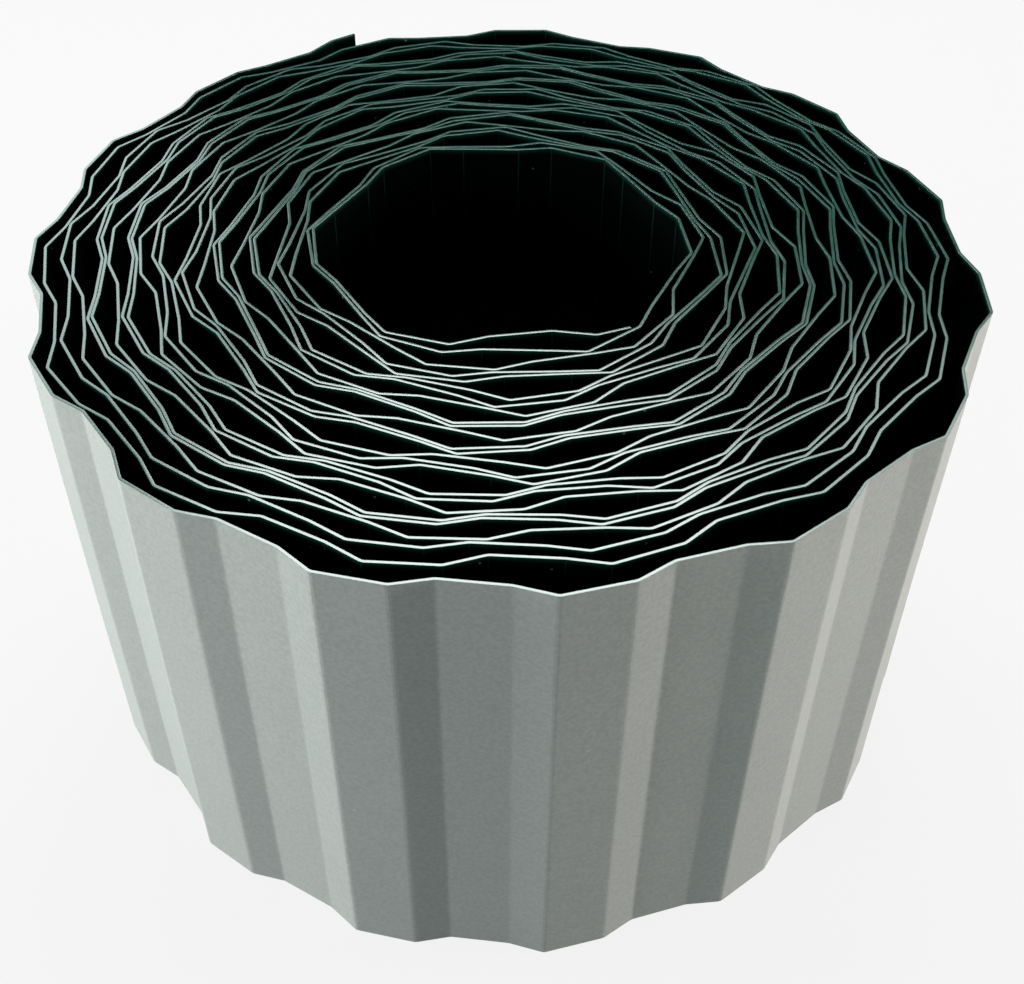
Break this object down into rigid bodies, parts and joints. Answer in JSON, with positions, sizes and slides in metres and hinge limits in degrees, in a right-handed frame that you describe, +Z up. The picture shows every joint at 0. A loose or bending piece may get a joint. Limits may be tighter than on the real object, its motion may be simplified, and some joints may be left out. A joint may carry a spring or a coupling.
{
  "type": "plastic lawn edging",
  "caption": "Thin corrugated plastic lawn edging strip, wound into a loose open roll that stands on its edge.",
  "frame": {"origin": "on the ground, under the middle of the roll's bounding box", "axes": "+Z up along the roll's axis; -Y faces the viewer of the picture; +X to the viewer's right"},
  "size_m": [0.1728, 0.174, 0.1],
  "materials": {
    "edging_plastic": "satin grey-green extruded plastic, darker green on the side wound inwards"
  },
  "bodies": {
    "root": {"edging_strip": "edging_plastic"}
  },
  "joints": []
}
